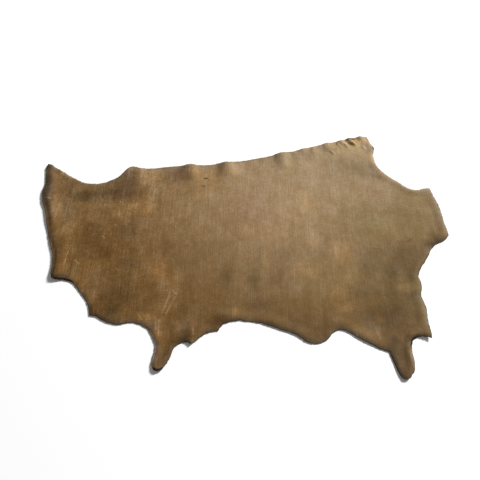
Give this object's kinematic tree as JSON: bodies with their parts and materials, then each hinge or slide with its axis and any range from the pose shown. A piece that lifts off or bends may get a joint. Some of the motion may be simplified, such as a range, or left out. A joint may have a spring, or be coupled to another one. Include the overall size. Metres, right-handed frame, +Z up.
{
  "type": "nubuck leather side",
  "caption": "Side of tan brown nubuck leather, half a cattle hide with neck, shanks, belly and tail root, laid flat with a rolled neck edge and rippled backbone.",
  "frame": {"origin": "centre of the outline's bounding box, on the surface that the hide lies on", "axes": "+Z up out of the grain side, +X along the hide from the neck to the butt, +Y towards the backbone cut"},
  "size_m": [2.2668, 1.4707, 0.0214],
  "materials": {
    "nubuck": "matt buffed grain with a fine short nap, raw cut edge, suede flesh side"
  },
  "bodies": {
    "root": {"hide": "nubuck"}
  },
  "joints": []
}
